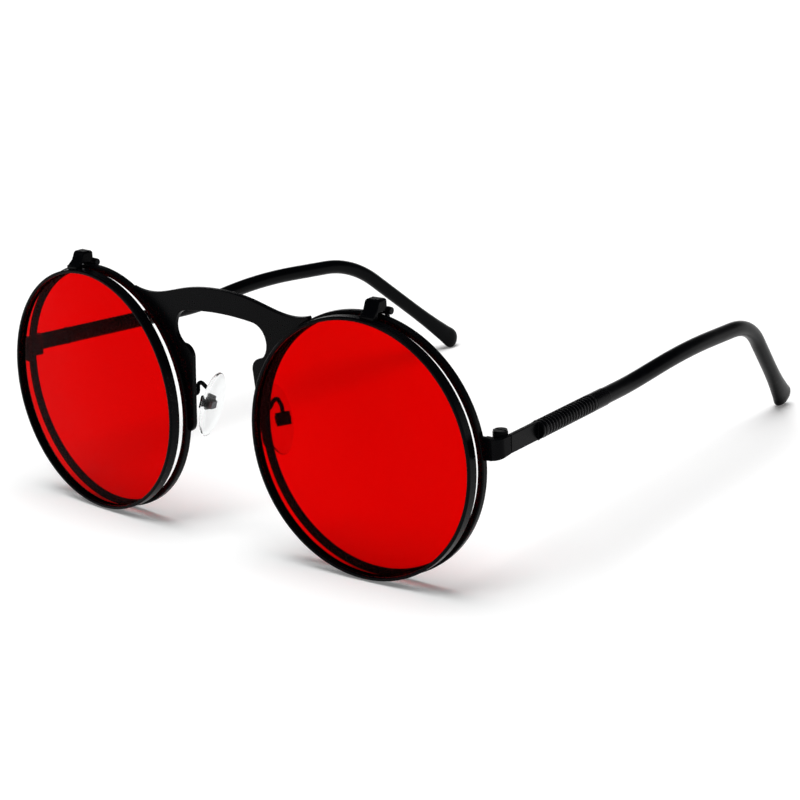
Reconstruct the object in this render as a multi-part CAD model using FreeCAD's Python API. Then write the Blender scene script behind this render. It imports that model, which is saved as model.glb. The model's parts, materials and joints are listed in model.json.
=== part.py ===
import FreeCAD, Part
import os
from math import cos, pi, radians, sin, sqrt, tan

# Flip up sunglasses in millimetres, +Z up. The lenses face -Y, the temples run back along +Y,
# and +X is the wearer's left. Each lens is built about its own centre and then set in place.

V = FreeCAD.Vector
X_AXIS = V(1, 0, 0)
Y_AXIS = V(0, 1, 0)
Z_AXIS = V(0, 0, 1)
ORIGIN = V(0, 0, 0)
LEFT = 1
RIGHT = -1
SIDES = {"left": LEFT, "right": RIGHT}

# Front of the frame
FLIP_R = 25.0
FLIP_WALL = 0.7
FLIP_DEPTH = 2.3
RIM_GAP = 1.25
RIM_STEP = 0.4
REAR_WALL = 1.2
REAR_DEPTH = 1.45
RIM_CHAMFER = 0.15
NOSE_GAP = 21.1
WRAP = 3.7
FLIP_TILT = 0.9

# Lenses and the grooves that hold them
LENS_CURVE = 265.0
TINT_THICK = 0.8
CLEAR_THICK = 0.65
FLIP_GROOVE_DEEP = 0.35
REAR_GROOVE_DEEP = 0.5
FLIP_BACK_LIP = 0.6
FLIP_BACK_EASE = 0.3
REAR_BACK_LIP = 0.3
REAR_BACK_EASE = 0.15
LENS_PLAY = 0.05

# Bridge plate. Out is measured from the middle, in is measured from a lens centre towards the
# nose, drop is measured down from the top of the rear rims, and low from the lens centres.
PLATE_PROUD = 0.85
PLATE_THICK = 1.1
CREST_DROP = 0.3
HUMP_OUT = 9.0
HUMP_DROP = 1.15
DIP_IN = 18.35
DIP_DROP = 3.0
EAR_TIP_IN = 12.45
EAR_TIP_DROP = 2.45
EAR_ROOT_IN = 11.65
EAR_ROOT_DROP = 4.4
KEY_DROP = 5.0
KEY_CORNER_OUT = 9.0
KEY_CORNER_DROP = 5.6
KEY_SIDE_OUT = 12.25
KEY_SIDE_DROP = 9.0
KEY_NECK_OUT = 10.7
KEY_NECK_DROP = 12.45
SHOULDER_OUT = 8.75
SHOULDER_DROP = 13.25
WEB_TOP_OUT = 8.1
WEB_TOP_DROP = 14.8
WEB_LOW_OUT = 9.35
WEB_LOW = 3.2
WEB_END_OUT = 10.4
WEB_END_LOW = 5.0
WEB_OVERLAP = 3.1

# Flip hinge on top of each lens
FLIP_HINGE_OUT = 3.35
FLIP_AXIS_BACK = 0.85
FLIP_AXIS_RISE = 0.1
FLIP_BARREL_R = 0.75
FLIP_PIN_R = 0.35
BARREL_WIDE = 2.0
LUG_WIDE = 3.2
FOOT_TALL = 0.45
FOOT_START = 0.9
FOOT_LEDGE = 0.3
WAIST_AHEAD = 0.8
WAIST_DROP = 1.65
RIDGE_TALL = 2.55
RIDGE_DEEP = 2.2
RIDGE_AHEAD = 0.55
RIDGE_ROUND = 0.5
LUG_LIFT = 0.35
KNUCKLE_WIDE = 0.6
STRIP_WIDE = 0.42
STRIP_THICK = 0.7
FLIP_HEAD_R = 0.7
FLIP_HEAD_LONG = 0.5
FLIP_HEAD_ROUND = 0.2
SCREW_TAIL = 0.2

# Endpieces and temple hinges
HINGE_OUT = 1.05
HINGE_BACK = 3.8
BARREL_R = 1.4
BARREL_PROUD = 0.35
BARREL_TALL = 4.0
MIDDLE_TALL = 1.6
TEMPLE_PIN_R = 0.6
PIN_HEAD_R = 1.3
PIN_HEAD_TALL = 0.3
PIN_SLOT = 0.3
STRAP_THICK = 0.9
STRAP_TOP = 5.45
STRAP_ROOT_LOW = 1.0
STRAP_END_LOW = 2.05
STRAP_BEND_R = 1.7
LEAF_THICK = 0.6
LEAF_LONG = 3.4
LEAF_INSET = 0.4
LOCK_WIDE = 1.5
LOCK_DEEP = 1.2
LOCK_INSET = 0.3
LOCK_TALL = 3.8
LOCK_SCREW_R = 0.35
LOCK_HEAD_R = 0.55
LOCK_HEAD_TALL = 0.4

# Temples
TEMPLE_INWARD = 6.5
TEMPLE_FALL = 2.2
BAR_LONG = 10.0
FERRULE_LONG = 0.8
FERRULE_R = 1.7
ROD_R = 0.9
SPRING_LONG = 19.2
SPRING_R = 1.75
WIRE = 0.5
SPRING_TURNS = 17.5
SPRING_LEAD = 60.0
COLLAR_LONG = 5.2
COLLAR_R = 1.72
COLLAR_ROUND = 0.17
ROD_INTO_TIP = 5.0
TIP_R = 1.62
BEND_R = 24.0
FIRST_BOW_R = 60.0
BOW_R = 120.0
BOW_IN = 3.55
BOW_BACK = 65.2
BOW_RISE = 3.6
BEND_IN = 6.5
BEND_BACK = 93.7
BEND_RISE = 1.45
TIP_END_IN = 14.75
TIP_END_BACK = 122.0
TIP_END_RISE = 0.895
PADDLE_LONG = 18.0
PADDLE_WIDE = 2.6
PADDLE_THICK = 1.4
PADDLE_TWIST = 25.0
PADDLE_FULL = 0.88
PADDLE_SHARES = (0, 0.05, 0.12, 0.22, 0.34, 0.46, 0.58, 0.7, 0.8, 0.88, 0.93, 0.965, 0.99)

# Nose pads
PAD_OUT = 9.0
PAD_BACK = 4.1
PAD_LOW = 0.67
PAD_LONG = 14.0
PAD_WIDE = 7.0
PAD_THICK = 1.4
PAD_PROFILE = ((0.55, -0.5), (0.86, -0.38), (1.0, -0.05), (0.97, 0.25), (0.72, 0.5))
PAD_SPLAY = 15.0
PAD_TOE = 6.0
PAD_TILT = 6.0
PLUG_WIDE = 1.5
PLUG_SUNK = 1.0
BOX_WIDE = 2.9
BOX_TALL = 2.6
BOX_DEEP = 1.1
BOX_WALL = 0.3
BOX_STAND = 0.35
PAD_PIN_R = 0.25
PAD_HEAD_R = 0.45
PAD_HEAD_LONG = 0.3
PAD_WIRE_R = 0.42
ARM_ROOT_OUT = 9.8
ARM_ROOT_RISE = 2.4
ARM_TURN_OUT = 10.6
ARM_TURN_BACK = 2.3
ARM_TURN_RISE = 4.9
ARM_LOOP_R = 0.85
ARM_FOOT_R = 0.8
ARM_STRAIGHT = 1.26

# Clearances, and how near an edge must lie to a face to be picked
RUNNING = 0.05
PIN_SEAT = 0.02
SIDE_PLAY = 0.08
SEAM = 0.1
PAD_PLAY = 0.2
NEAR = 0.02

# Sizes that follow from the ones above
REAR_R = FLIP_R + RIM_STEP
HALF_SPACING = REAR_R + NOSE_GAP / 2
REAR_FRONT = FLIP_DEPTH + RIM_GAP
REAR_BACK = REAR_FRONT + REAR_DEPTH
PLATE_FRONT = REAR_FRONT - PLATE_PROUD
PLATE_BACK = PLATE_FRONT + PLATE_THICK
FLIP_AXIS_Y = REAR_BACK + FLIP_AXIS_BACK
FLIP_AXIS_Z = REAR_R + FLIP_AXIS_RISE
RIDGE_TOP = FLIP_AXIS_Z + RIDGE_TALL
RIDGE_BACK = FLIP_AXIS_Y - RIDGE_AHEAD
FLIP_TOP_BACK = FLIP_DEPTH + FLIP_R * sin(radians(FLIP_TILT))
KNUCKLE_OUT = BARREL_WIDE / 2 + SIDE_PLAY
FLOOR = -REAR_R
HINGE_X = HALF_SPACING + REAR_R + HINGE_OUT
HINGE_Y = REAR_BACK + HINGE_BACK
BARREL_TOP = STRAP_TOP + BARREL_PROUD
BARREL_LOW = BARREL_TOP - BARREL_TALL
LOCK_LOW = STRAP_ROOT_LOW + LOCK_INSET
LOCK_HIGH = LOCK_LOW + LOCK_TALL
STRAP_IN = HINGE_X + BARREL_R + SEAM
STRAP_OUT = STRAP_IN + STRAP_THICK
BAR_START = V((STRAP_IN + STRAP_OUT) / 2, HINGE_Y, (STRAP_TOP + STRAP_END_LOW) / 2)
SPRING_START = BAR_LONG
SPRING_END = SPRING_START + SPRING_LONG
COLLAR_END = SPRING_END + COLLAR_LONG
ROD_END = COLLAR_END + ROD_INTO_TIP
TIP_BOW = V(HINGE_X - BOW_IN, HINGE_Y + BOW_BACK, BOW_RISE)
EAR_BEND = V(HINGE_X - BEND_IN, HINGE_Y + BEND_BACK, BEND_RISE)
TIP_END = V(HINGE_X - TIP_END_IN, HINGE_Y + TIP_END_BACK, FLOOR + TIP_END_RISE)
PAD_CENTRE = V(PAD_OUT, PLATE_BACK + PAD_BACK, -PAD_LOW)
ARM_ROOT = V(ARM_ROOT_OUT, PLATE_BACK, ARM_ROOT_RISE)
ARM_TURN = V(ARM_TURN_OUT, PLATE_BACK + ARM_TURN_BACK, ARM_TURN_RISE)
REACH = FLIP_R + REAR_R

# How the spring's wire is measured against itself: points on each arc, arcs in a turn, and the
# share of a turn nearest to a point that is left out
GAP_STEPS = 8
ARCS_PER_TURN = 4
OWN_TURN = 0.6


def box(low, high):
    return Part.makeBox(high.x - low.x, high.y - low.y, high.z - low.z, low)


def polygon_prism(points, along):
    """A straight prism over a closed outline of points."""
    face = Part.Face(Part.makePolygon(points + [points[0]]))
    return face.extrude(along)


def turned(points):
    """A solid of revolution about the Y axis from points of radius and depth."""
    outline = [V(r, y, 0) for r, y in points]
    face = Part.Face(Part.makePolygon(outline + [outline[0]]))
    return face.revolve(ORIGIN, Y_AXIS, 360)


def tube_y(radius, start, end):
    return Part.makeCylinder(radius, end - start, V(0, start, 0), Y_AXIS)


def set_at_lens(shape, side):
    """Turns a shape built about a lens centre by the wrap and moves it out to its side."""
    placed = shape.copy()
    placed.rotate(ORIGIN, Z_AXIS, side * WRAP)
    placed.translate(V(side * HALF_SPACING, 0, 0))
    return placed


def to_side(shape, side):
    """Keeps a shape built on the left, or mirrors it to the right."""
    if side == LEFT:
        return shape
    return shape.mirror(ORIGIN, X_AXIS)


def arc_from(start, heading, end):
    """The circular arc that leaves start along heading and ends at end."""
    chord = end - start
    half = chord * 0.5
    along = V(chord).normalize()
    side = heading - along * heading.dot(along)
    turn = heading.getAngle(chord)
    middle = start + half + side.normalize() * (half.Length * tan(turn / 2))
    return Part.Arc(start, middle, end).toShape()


def biarc(start, start_heading, end, end_heading):
    """Two arcs that join two points with given headings and meet smoothly."""
    gap = end - start
    both = start_heading + end_heading
    spread = 2 * (1 - start_heading.dot(end_heading))
    reach = gap.dot(both)
    arm = (-reach + sqrt(reach * reach + spread * gap.dot(gap))) / spread
    joint = (start + end + (start_heading - end_heading) * arm) * 0.5
    heading = (joint - start - start_heading * arm).normalize()
    return [arc_from(start, start_heading, joint), arc_from(joint, heading, end)]


def rounded_path(corners, radii):
    """Straight runs between corners, with an arc of the given radius at each inner corner."""
    edges = []
    here = corners[0]
    for before, corner, after, radius in zip(corners, corners[1:], corners[2:], radii):
        into = (corner - before).normalize()
        out = (after - corner).normalize()
        trim = radius * tan(into.getAngle(out) / 2)
        first = corner - into * trim
        last = corner + out * trim
        edges.append(Part.makeLine(here, first))
        edges.append(arc_from(first, into, last))
        here = last
    edges.append(Part.makeLine(here, corners[-1]))
    return edges


def oval(centre, long_half, short_half):
    """A closed oval about a centre, or a circle where both halves are the same."""
    if abs(long_half.Length - short_half.Length) < NEAR:
        circle = Part.Circle(centre, long_half.cross(short_half), long_half.Length)
        circle.XAxis = long_half
        return Part.Wire(circle.toShape())
    return Part.Wire(Part.Ellipse(centre + long_half, centre + short_half, centre).toShape())


def swept(edges, radius):
    """A round tube along edges that follow one another smoothly."""
    path = Part.Wire(edges)
    start = edges[0].valueAt(edges[0].FirstParameter)
    heading = edges[0].tangentAt(edges[0].FirstParameter)
    shell = Part.BRepOffsetAPI.MakePipeShell(path)
    shell.add(Part.Wire(Part.makeCircle(radius, start, heading)))
    shell.build()
    shell.makeSolid()
    return shell.shape()


def hung(shape):
    """Tilts a piece of the flip lens, which rests with its lower edge a little further forward."""
    placed = shape.copy()
    placed.rotate(ORIGIN, X_AXIS, -FLIP_TILT)
    return placed


def rim(outer, wall, front, depth, groove_deep, groove_wide, back_lip, back_ease):
    """A lens rim with softened outer edges, a groove on its inside and a lip behind the groove."""
    inner = outer - wall
    back = front + depth
    groove_back = back - back_lip
    groove_front = groove_back - groove_wide
    return turned([
        (inner, front),
        (outer - RIM_CHAMFER, front),
        (outer, front + RIM_CHAMFER),
        (outer, back - RIM_CHAMFER),
        (outer - RIM_CHAMFER, back),
        (inner + back_ease, back),
        (inner, back - back_ease),
        (inner, groove_back),
        (inner + groove_deep, groove_back),
        (inner + groove_deep, groove_front),
        (inner, groove_front),
    ])


def dome_fall(across):
    """How far a lens face falls back from its crown at a distance from the middle."""
    return LENS_CURVE - sqrt(LENS_CURVE ** 2 - across ** 2)


def dome(crown, radius):
    """The shallow arc of a lens face, from its crown out to its edge."""
    halfway = V(radius / 2, crown + dome_fall(radius / 2), 0)
    return Part.Arc(V(0, crown, 0), halfway, V(radius, crown + dome_fall(radius), 0)).toShape()


def lens(radius, back, thick):
    """A shallow domed lens whose edge ends at the given back face."""
    back_crown = back - dome_fall(radius)
    front_crown = back_crown - thick
    edges = [
        dome(front_crown, radius),
        Part.makeLine(V(radius, back - thick, 0), V(radius, back, 0)),
        dome(back_crown, radius),
        Part.makeLine(V(0, back_crown, 0), V(0, front_crown, 0)),
    ]
    outline = Part.Wire(Part.__sortEdges__(edges))
    return Part.Face(outline).revolve(ORIGIN, Y_AXIS, 360)


def flip_rim():
    groove_wide = TINT_THICK + 2 * LENS_PLAY
    ring = rim(FLIP_R, FLIP_WALL, 0, FLIP_DEPTH, FLIP_GROOVE_DEEP, groove_wide, FLIP_BACK_LIP,
               FLIP_BACK_EASE)
    return hung(ring)


def rear_rim():
    groove_wide = CLEAR_THICK + 2 * LENS_PLAY
    return rim(REAR_R, REAR_WALL, REAR_FRONT, REAR_DEPTH, REAR_GROOVE_DEEP, groove_wide, REAR_BACK_LIP,
               REAR_BACK_EASE)


def tinted_lens():
    radius = FLIP_R - FLIP_WALL + FLIP_GROOVE_DEEP - LENS_PLAY
    return hung(lens(radius, FLIP_DEPTH - FLIP_BACK_LIP - LENS_PLAY, TINT_THICK))


def clear_lens():
    radius = REAR_R - REAR_WALL + REAR_GROOVE_DEEP - LENS_PLAY
    return lens(radius, REAR_BACK - REAR_BACK_LIP - LENS_PLAY, CLEAR_THICK)


def plate_point(out, drop):
    """A point of the bridge plate, out from the middle and down from the top of the rear rims."""
    return V(out, 0, REAR_R - drop)


def top_edge(crest, ear_tip):
    """The smooth upper edge of the left half, from the crest over a hump and a dip to the ear."""
    hump = plate_point(HUMP_OUT, HUMP_DROP)
    dip = plate_point(HALF_SPACING - DIP_IN, DIP_DROP)
    curve = Part.BSplineCurve()
    curve.interpolate([plate_point(-HUMP_OUT, HUMP_DROP), crest, hump, dip, ear_tip])
    return Part.Edge(curve, curve.parameter(crest), curve.parameter(ear_tip))


def half_bridge():
    """The left half of the stamped bridge plate before the rims are cut out of it."""
    crest = plate_point(0, CREST_DROP)
    ear_tip = plate_point(HALF_SPACING - EAR_TIP_IN, EAR_TIP_DROP)
    ear_root = plate_point(HALF_SPACING - EAR_ROOT_IN, EAR_ROOT_DROP)
    key_crest = plate_point(0, KEY_DROP)
    key_corner = plate_point(KEY_CORNER_OUT, KEY_CORNER_DROP)
    key_side = plate_point(KEY_SIDE_OUT, KEY_SIDE_DROP)
    key_neck = plate_point(KEY_NECK_OUT, KEY_NECK_DROP)
    shoulder = plate_point(SHOULDER_OUT, SHOULDER_DROP)
    web_top = plate_point(WEB_TOP_OUT, WEB_TOP_DROP)
    web_low = V(WEB_LOW_OUT, 0, -WEB_LOW)
    web_end = V(WEB_END_OUT, 0, -WEB_END_LOW)
    web_inside = web_end + V(WEB_OVERLAP, 0, 0)
    edges = [
        top_edge(crest, ear_tip),
        Part.makeLine(ear_tip, ear_root),
        Part.makeLine(ear_root, web_inside),
        Part.makeLine(web_inside, web_end),
        arc_from(web_low, (web_low - web_top).normalize(), web_end),
        Part.makeLine(web_low, web_top),
        Part.Arc(web_top, shoulder, key_neck).toShape(),
        Part.Arc(key_neck, key_side, key_corner).toShape(),
        arc_from(key_crest, X_AXIS, key_corner),
        Part.makeLine(key_crest, crest),
    ]
    face = Part.Face(Part.Wire(Part.__sortEdges__(edges)))
    plate = face.extrude(V(0, PLATE_THICK, 0))
    plate.translate(V(0, PLATE_FRONT, 0))
    return plate


def bridge_plate():
    half = half_bridge()
    plate = half.fuse(half.mirror(ORIGIN, X_AXIS)).removeSplitter()
    for side in SIDES.values():
        plate = plate.cut(set_at_lens(tube_y(REAR_R, -REACH, REACH), side))
    return plate.Solids[0]


def flip_barrel(radius, centre, wide):
    start = V(centre - wide / 2, FLIP_AXIS_Y, FLIP_AXIS_Z)
    return Part.makeCylinder(radius, wide, start, X_AXIS)


def flip_lug(side):
    """The block that carries a flip rim: a foot on the rim, a waist, a ridge, and a barrel behind."""
    centre = side * FLIP_HINGE_OUT
    start = centre - LUG_WIDE / 2
    sunk = FLIP_R - FOOT_TALL
    foot_top = FLIP_R + FOOT_TALL
    under = REAR_R + LUG_LIFT
    ridge_front = RIDGE_BACK - RIDGE_DEEP
    rest_back = FLIP_TOP_BACK - RIM_CHAMFER
    block = polygon_prism([
        V(start, FOOT_START, sunk),
        V(start, FOOT_START, foot_top),
        V(start, FOOT_START + FOOT_LEDGE, foot_top),
        V(start, ridge_front - WAIST_AHEAD, RIDGE_TOP - WAIST_DROP),
        V(start, ridge_front, RIDGE_TOP),
        V(start, RIDGE_BACK, RIDGE_TOP),
        V(start, RIDGE_BACK, under),
        V(start, rest_back, under),
        V(start, rest_back, sunk),
    ], V(LUG_WIDE, 0, 0))
    crown = [edge for edge in block.Edges if edge.BoundBox.ZMin > RIDGE_TOP - NEAR]
    block = block.makeFillet(RIDGE_ROUND, crown)
    block = block.cut(hung(tube_y(FLIP_R, -REACH, REACH)))
    block = block.cut(flip_barrel(FLIP_BARREL_R + SIDE_PLAY, centre, REACH))
    neck = box(V(centre - BARREL_WIDE / 2, RIDGE_BACK - FLIP_BARREL_R, under),
               V(centre + BARREL_WIDE / 2, FLIP_AXIS_Y, FLIP_AXIS_Z + FLIP_BARREL_R))
    lug = block.fuse([neck, flip_barrel(FLIP_BARREL_R, centre, BARREL_WIDE)]).removeSplitter()
    return lug.cut(flip_barrel(FLIP_PIN_R + RUNNING, centre, REACH))


def flip_bracket(side):
    """Two fixed knuckles on the rear rim, joined by a strip behind it."""
    centre = side * FLIP_HINGE_OUT
    strip_low = REAR_R - REAR_WALL + LENS_PLAY
    strip = tube_y(strip_low + STRIP_WIDE, REAR_BACK, REAR_BACK + STRIP_THICK)
    strip = strip.cut(tube_y(strip_low, -REACH, REACH))
    outside = KNUCKLE_OUT + KNUCKLE_WIDE
    pieces = []
    for hand in SIDES.values():
        middle = centre + hand * (KNUCKLE_OUT + KNUCKLE_WIDE / 2)
        foot = box(V(middle - KNUCKLE_WIDE / 2, REAR_BACK, strip_low - STRIP_WIDE),
                   V(middle + KNUCKLE_WIDE / 2, FLIP_AXIS_Y, FLIP_AXIS_Z))
        foot = foot.cut(tube_y(strip_low, -REACH, REACH))
        pieces.append(foot.fuse(flip_barrel(FLIP_BARREL_R, middle, KNUCKLE_WIDE)))
    span = box(V(centre - outside, REAR_BACK, 0), V(centre + outside, REACH, REACH))
    bracket = strip.common(span).fuse(pieces).removeSplitter()
    return bracket.cut(flip_barrel(FLIP_PIN_R + PIN_SEAT, centre, REACH))


def flip_screw(side):
    """The hinge screw, whose head shows on the +X side of both hinges."""
    centre = side * FLIP_HINGE_OUT
    outside = KNUCKLE_OUT + KNUCKLE_WIDE
    shank = flip_barrel(FLIP_PIN_R, centre - SCREW_TAIL / 2, 2 * outside + SCREW_TAIL)
    head_start = V(centre + outside, FLIP_AXIS_Y, FLIP_AXIS_Z)
    head = Part.makeCylinder(FLIP_HEAD_R, FLIP_HEAD_LONG, head_start, X_AXIS)
    rim_edge = [edge for edge in head.Edges if edge.BoundBox.XMin > head_start.x + FLIP_HEAD_LONG / 2]
    head = head.makeFillet(FLIP_HEAD_ROUND, rim_edge)
    return shank.fuse(head).removeSplitter()


def rear_rim_cutter():
    return set_at_lens(tube_y(REAR_R, -REACH, REACH), LEFT)


def strap_front():
    """Depth of the endpiece's front face, level with the rear rim where the two meet."""
    return REAR_FRONT + REAR_R * sin(radians(WRAP))


def endpiece():
    """The strap that turns from the front of the rim to the temple, lower at its root."""
    front = strap_front()
    root = HALF_SPACING + REAR_R * cos(radians(WRAP)) - REAR_WALL
    inner_r = STRAP_BEND_R - STRAP_THICK
    bend = V(STRAP_OUT - STRAP_BEND_R, front + STRAP_BEND_R, 0)
    diagonal = sin(radians(45))
    inside = front + STRAP_THICK
    end = HINGE_Y - SEAM
    outline = [
        Part.makeLine(V(root, front, 0), V(bend.x, front, 0)),
        Part.Arc(V(bend.x, front, 0), bend + V(diagonal, -diagonal, 0) * STRAP_BEND_R,
                 V(STRAP_OUT, bend.y, 0)).toShape(),
        Part.makeLine(V(STRAP_OUT, bend.y, 0), V(STRAP_OUT, end, 0)),
        Part.makeLine(V(STRAP_OUT, end, 0), V(STRAP_IN, end, 0)),
        Part.makeLine(V(STRAP_IN, end, 0), V(STRAP_IN, bend.y, 0)),
        Part.Arc(V(STRAP_IN, bend.y, 0), bend + V(diagonal, -diagonal, 0) * inner_r,
                 V(bend.x, inside, 0)).toShape(),
        Part.makeLine(V(bend.x, inside, 0), V(root, inside, 0)),
        Part.makeLine(V(root, inside, 0), V(root, front, 0)),
    ]
    strap = Part.Face(Part.Wire(outline)).extrude(V(0, 0, STRAP_TOP - STRAP_ROOT_LOW))
    strap.translate(V(0, 0, STRAP_ROOT_LOW))
    run = (STRAP_OUT - root) + (end - front)
    rise = STRAP_END_LOW - STRAP_ROOT_LOW
    slope = polygon_prism([
        V(root, front, STRAP_ROOT_LOW),
        V(root + run, front, STRAP_ROOT_LOW + rise),
        V(root + run, front, STRAP_ROOT_LOW - rise),
        V(root, front, STRAP_ROOT_LOW - rise),
    ], V(-run, run, 0))
    return strap.cut(slope).cut(rear_rim_cutter())


def hinge_barrel(radius, low, high):
    return Part.makeCylinder(radius, high - low, V(HINGE_X, HINGE_Y, low))


def middle_heights():
    middle = (BARREL_TOP + BARREL_LOW) / 2
    return middle - MIDDLE_TALL / 2, middle + MIDDLE_TALL / 2


def front_hinge():
    """Top and bottom knuckles on a leaf against the inside of the endpiece."""
    low, high = middle_heights()
    leaf_end = HINGE_Y - BARREL_R - SEAM
    leaf_start = max(leaf_end - LEAF_LONG, strap_front() + STRAP_BEND_R)
    leaf = box(V(STRAP_IN - LEAF_THICK, leaf_start, STRAP_END_LOW), V(STRAP_IN, leaf_end, STRAP_TOP))
    knuckles = []
    for bottom, top in ((BARREL_LOW, low - SIDE_PLAY), (high + SIDE_PLAY, BARREL_TOP)):
        neck_low = V(HINGE_X, leaf_start, max(bottom, STRAP_END_LOW))
        neck = box(neck_low, V(STRAP_IN, HINGE_Y - SEAM, min(top, STRAP_TOP)))
        knuckles.append(hinge_barrel(BARREL_R, bottom, top).fuse(neck))
    hinge = leaf.fuse(knuckles).removeSplitter()
    return hinge.cut(hinge_barrel(TEMPLE_PIN_R + PIN_SEAT, -REACH, REACH))


def temple_pin():
    """The temple hinge screw with its slotted head on the top knuckle."""
    pin = hinge_barrel(TEMPLE_PIN_R, BARREL_LOW - SCREW_TAIL, BARREL_TOP)
    head = hinge_barrel(PIN_HEAD_R, BARREL_TOP, BARREL_TOP + PIN_HEAD_TALL)
    slot_low = V(HINGE_X - PIN_HEAD_R, HINGE_Y - PIN_SLOT / 2, BARREL_TOP + PIN_HEAD_TALL / 2)
    slot = box(slot_low, slot_low + V(2 * PIN_HEAD_R, PIN_SLOT, PIN_HEAD_TALL))
    return pin.fuse(head).removeSplitter().cut(slot)


def lock_place():
    """Lower front inner corner of the rim lock, which reaches half way over the rim's wall."""
    inner = HALF_SPACING + REAR_R * cos(radians(WRAP)) - REAR_WALL / 2
    return V(inner, strap_front() + STRAP_THICK, LOCK_LOW)


def lock_bore():
    """Middle of what the rim leaves of the rim lock."""
    corner = lock_place()
    return V(corner.x + (REAR_WALL / 2 + LOCK_WIDE) / 2, corner.y + LOCK_DEEP / 2, 0)


def rim_lock():
    """The closing block that clamps the rear rim round its lens."""
    corner = lock_place()
    block = box(corner, V(corner.x + LOCK_WIDE, corner.y + LOCK_DEEP, LOCK_HIGH))
    block = block.cut(rear_rim_cutter())
    centre = lock_bore()
    bore = Part.makeCylinder(LOCK_SCREW_R + PIN_SEAT, REACH, V(centre.x, centre.y, -REACH / 2))
    return block.cut(bore)


def lock_screw():
    centre = lock_bore()
    shank = Part.makeCylinder(LOCK_SCREW_R, LOCK_HIGH - LOCK_LOW, V(centre.x, centre.y, LOCK_LOW))
    low = LOCK_LOW - LOCK_HEAD_TALL
    head = Part.makeCylinder(LOCK_HEAD_R, LOCK_HEAD_TALL, V(centre.x, centre.y, low))
    slot_low = V(centre.x - LOCK_HEAD_R, centre.y - PIN_SLOT / 2, low)
    slot = box(slot_low, slot_low + V(2 * LOCK_HEAD_R, PIN_SLOT, LOCK_HEAD_TALL / 2))
    return shank.fuse(head).removeSplitter().cut(slot)


def temple_frame(shape):
    """Sets a shape built straight back along Y on the line of the left temple."""
    placed = shape.copy()
    placed.rotate(ORIGIN, X_AXIS, -TEMPLE_FALL)
    placed.rotate(ORIGIN, Z_AXIS, TEMPLE_INWARD)
    placed.translate(BAR_START)
    return placed


def temple_point(distance):
    """A point on the left temple's centre line, measured back from the hinge seam."""
    fall = radians(TEMPLE_FALL)
    inward = radians(TEMPLE_INWARD)
    level = distance * cos(fall)
    return BAR_START + V(-level * sin(inward), level * cos(inward), -distance * sin(fall))


def temple_bar():
    """The flat bar with the round ferrule and the rod that carries the spring."""
    half_tall = (STRAP_TOP - STRAP_END_LOW) / 2
    bar = box(V(-STRAP_THICK / 2, 0, -half_tall), V(STRAP_THICK / 2, BAR_LONG, half_tall))
    ferrule = tube_y(FERRULE_R, BAR_LONG - FERRULE_LONG, BAR_LONG)
    rod = tube_y(ROD_R, BAR_LONG - FERRULE_LONG, ROD_END)
    return temple_frame(bar.fuse([ferrule, rod]).removeSplitter())


def temple_hinge():
    """The middle knuckle on a leaf against the inside of the temple bar."""
    low, high = middle_heights()
    barrel = hinge_barrel(BARREL_R, low, high)
    back = BARREL_R + 2 * SEAM
    half_tall = (STRAP_TOP - STRAP_END_LOW) / 2
    face = -STRAP_THICK / 2
    leaf_half = half_tall - LEAF_INSET
    leaf = box(V(face - LEAF_THICK, back, -leaf_half), V(face, back + LEAF_LONG, leaf_half))
    neck_low = low - BAR_START.z
    neck_high = high - BAR_START.z
    neck = box(V(face - BARREL_R, SEAM, neck_low), V(face, back + LEAF_THICK, neck_high - SEAM))
    hinge = barrel.fuse([temple_frame(leaf), temple_frame(neck)]).removeSplitter()
    return hinge.cut(hinge_barrel(TEMPLE_PIN_R + RUNNING, -REACH, REACH))


def spring_path():
    """The spring's wire: a straight end, a steady helix in half turns, and a straight end."""
    radius = SPRING_R - WIRE / 2
    lead = radians(SPRING_LEAD)
    rise = SPRING_LONG - 4 * WIRE
    pitch = rise / (SPRING_TURNS + 2 * lead / (2 * pi))
    slant = pitch / (2 * pi)

    def point(angle):
        along = SPRING_START + 2 * WIRE + slant * (angle + lead)
        return V(radius * cos(angle), along, radius * sin(angle))

    def heading(angle):
        return V(-radius * sin(angle), slant, radius * cos(angle)).normalize()

    last = 2 * pi * SPRING_TURNS
    first_point = V(radius * cos(-lead), SPRING_START, radius * sin(-lead))
    first_turn = first_point + V(0, WIRE, 0)
    end_point = V(radius * cos(last + lead), SPRING_END, radius * sin(last + lead))
    end_turn = end_point - V(0, WIRE, 0)
    edges = [Part.makeLine(first_point, first_turn)]
    edges += biarc(first_turn, Y_AXIS, point(0), heading(0))
    halves = int(2 * SPRING_TURNS)
    for half in range(halves):
        here = half * pi
        edges += biarc(point(here), heading(here), point(here + pi), heading(here + pi))
    edges += biarc(point(last), heading(last), end_turn, Y_AXIS)
    edges.append(Part.makeLine(end_turn, end_point))
    return edges


def least_gap(edges):
    """The smallest clear space between turns of a wire, measured on points along it."""
    steps = GAP_STEPS
    points = []
    for edge in edges:
        span = edge.LastParameter - edge.FirstParameter
        points += [edge.valueAt(edge.FirstParameter + span * step / steps) for step in range(steps)]
    apart = int(OWN_TURN * ARCS_PER_TURN * steps)
    gaps = []
    for index, point in enumerate(points):
        first = index + apart
        gaps += [(other - point).Length for other in points[first:first + 2 * apart]]
    return min(gaps) - WIRE


def temple_spring():
    edges = spring_path()
    print("spring: least gap between turns %.2f mm" % least_gap(edges))
    return temple_frame(swept(edges, WIRE / 2))


def temple_collar():
    """The plain sleeve between the spring and the plastic tip."""
    collar = tube_y(COLLAR_R, SPRING_END, COLLAR_END)
    far_edge = [edge for edge in collar.Edges if edge.BoundBox.YMin > COLLAR_END - NEAR]
    collar = collar.makeFillet(COLLAR_ROUND, far_edge)
    return temple_frame(collar.cut(tube_y(ROD_R + PIN_SEAT, -REACH, REACH)))


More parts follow.
